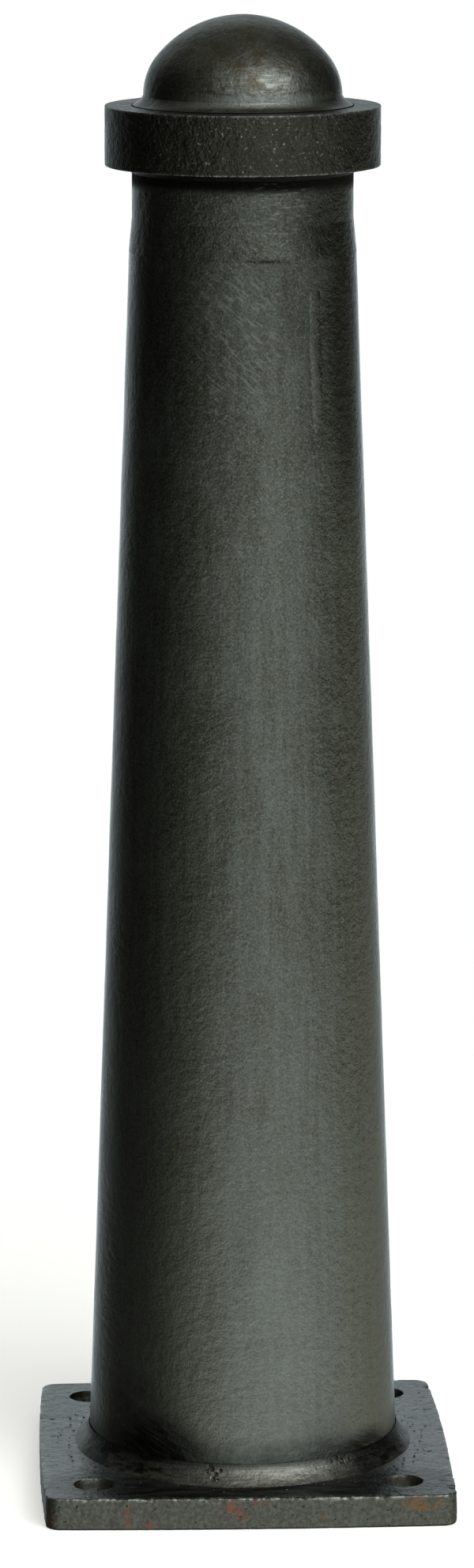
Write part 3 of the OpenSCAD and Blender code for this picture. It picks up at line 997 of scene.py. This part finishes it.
# How bright the surround is, as a row of (azimuth, brightness) for each height, both in degrees: azimuth 0
# is in front of the bollard and 90 to its right.
surround = {
    -18: (
        (-180, 3.0), (-163, 0.8), (-130, 0.1), (-92, 0.04), (-66, 0.15), (-46, 0.8), (-15, 2.1), (0, 2.4),
        (30, 2.5), (70, 2.1), (100, 1.0), (120, 0.6), (150, 0.4), (163, 0.9), (180, 3.0),
    ),
    -12: (
        (-180, 3.0), (-163, 0.5), (-150, 0.12), (-126, 0.02), (-87, 0.06), (-69, 0.22), (-51, 0.58),
        (-33, 0.92), (-15, 1.35), (2, 1.6), (37, 1.95), (73, 1.8), (91, 2.1), (109, 2.1), (131, 0.8),
        (154, 0.4), (180, 3.0),
    ),
    -9: (
        (-180, 3.0), (-163, 0.7), (-150, 0.3), (-130, 0.03), (-87, 0.07), (-69, 0.17), (-51, 0.33),
        (-33, 0.5), (-15, 0.72), (2, 0.9), (37, 1.25), (73, 1.4), (91, 1.05), (109, 0.6), (131, 0.35),
        (154, 0.6), (180, 3.0),
    ),
    -7: (
        (-180, 3.0), (-163, 1.0), (-154, 0.9), (-134, 0.04), (-87, 0.04), (-69, 0.13), (-51, 0.29),
        (-33, 0.45), (-15, 0.62), (2, 0.86), (37, 1.2), (56, 1.15), (73, 1.0), (91, 0.22), (131, 0.08),
        (154, 0.8), (180, 3.0),
    ),
    -3: (
        (-180, 3.0), (-163, 0.9), (-156, 0.8), (-136, 0.01), (-60, 0.01), (-51, 0.02), (-33, 0.1),
        (-15, 0.42), (2, 0.72), (37, 0.96), (56, 0.86), (73, 0.52), (84, 0.08), (92, 0.0), (148, 0.0),
        (156, 0.8), (180, 3.0),
    ),
    9: (
        (-180, 0.6), (-150, 0.5), (-130, 0.02), (-60, 0.02), (-35, 0.2), (-15, 0.9), (2, 1.8), (25, 2.2),
        (50, 1.5), (70, 0.3), (84, 0.0), (146, 0.0), (154, 0.6), (180, 0.6),
    ),
    26: (
        (-180, 0.9), (-120, 0.04), (-60, 0.03), (-30, 0.5), (-12, 1.8), (4, 3.6), (25, 4.0), (55, 2.8),
        (76, 0.4), (90, 0.02), (140, 0.02), (180, 0.9),
    ),
    60: (
        (-180, 0.5), (-130, 0.2), (-108, 0.5), (-60, 0.15), (-20, 1.0), (10, 1.8), (35, 1.8), (60, 1.1),
        (96, 0.5), (130, 0.2), (180, 0.5),
    ),
    88: (
        (-180, 0.25), (180, 0.25),
    ),
}

studio = bpy.data.worlds.new("studio")
bpy.context.scene.world = studio
studio.use_nodes = True
tree = studio.node_tree
tree.nodes.clear()
ray = add(tree, "ShaderNodeSeparateXYZ", {0: add(tree, "ShaderNodeTexCoord").outputs["Generated"]}).outputs
azimuth = sums(tree, "ARCTAN2", ray["X"], sums(tree, "MULTIPLY", ray["Y"], -1.0))
share = sums(tree, "MULTIPLY_ADD", azimuth, 1 / math.tau, 0.5)
height = sums(tree, "DEGREES", sums(tree, "ARCSINE", ray["Z"]))
# A ramp holds nothing above 1, so it gets the brightness over this, and the background multiplies it back.
brightest = 4.0
brightness = None
below = None
for level, row in surround.items():
    ramp = add(tree, "ShaderNodeValToRGB", {"Fac": share})
    stops = ramp.color_ramp.elements
    while len(stops) > 1:
        stops.remove(stops[-1])
    for i, (degrees, strength) in enumerate(row):
        stop = stops[0] if i == 0 else stops.new(degrees / 360 + 0.5)
        stop.position = degrees / 360 + 0.5
        if level > 50:
            tint = (1.0, 0.985, 0.86)
        elif abs(degrees) > 140:
            tint = (0.86, 0.96, 1.0)
        elif -30 < degrees < 80:
            tint = (0.97, 1.0, 0.985)
        else:
            tint = (1.0, 0.98, 0.80)
        stop.color = [strength / brightest * part for part in tint] + [1]
    if brightness is None:
        brightness = ramp.outputs["Color"]
    else:
        brightness = mix(tree, spread(tree, height, below, level), brightness, ramp.outputs["Color"])
    below = level
# The camera sees a plain pale backdrop, and the steel sees the surround.
lit = add(tree, "ShaderNodeBackground", {"Color": brightness, "Strength": brightest})
pale = add(tree, "ShaderNodeBackground", {"Color": (1, 1, 1, 1), "Strength": 1.0})
seen = add(tree, "ShaderNodeLightPath").outputs["Is Camera Ray"]
both = add(tree, "ShaderNodeMixShader", {0: seen, 1: lit.outputs[0], 2: pale.outputs[0]})
add(tree, "ShaderNodeOutputWorld", {"Surface": both.outputs[0]})

lens = bpy.data.cameras.new("camera")
lens.lens = 142.46
lens.clip_end = 60
camera = bpy.data.objects.new("camera", lens)
bpy.context.scene.collection.objects.link(camera)
eye_height = 1.1586
eye_distance = 3.7591
eye_turn = math.radians(2.292)
look_down = math.radians(10.840)
look_right = math.radians(2.239)
camera.location = (-eye_distance * math.sin(eye_turn), -eye_distance * math.cos(eye_turn), eye_height)
camera.rotation_euler = (math.radians(90) - look_down, 0, -look_right)
bpy.context.scene.camera = camera
bpy.context.scene.view_settings.view_transform = "Standard"
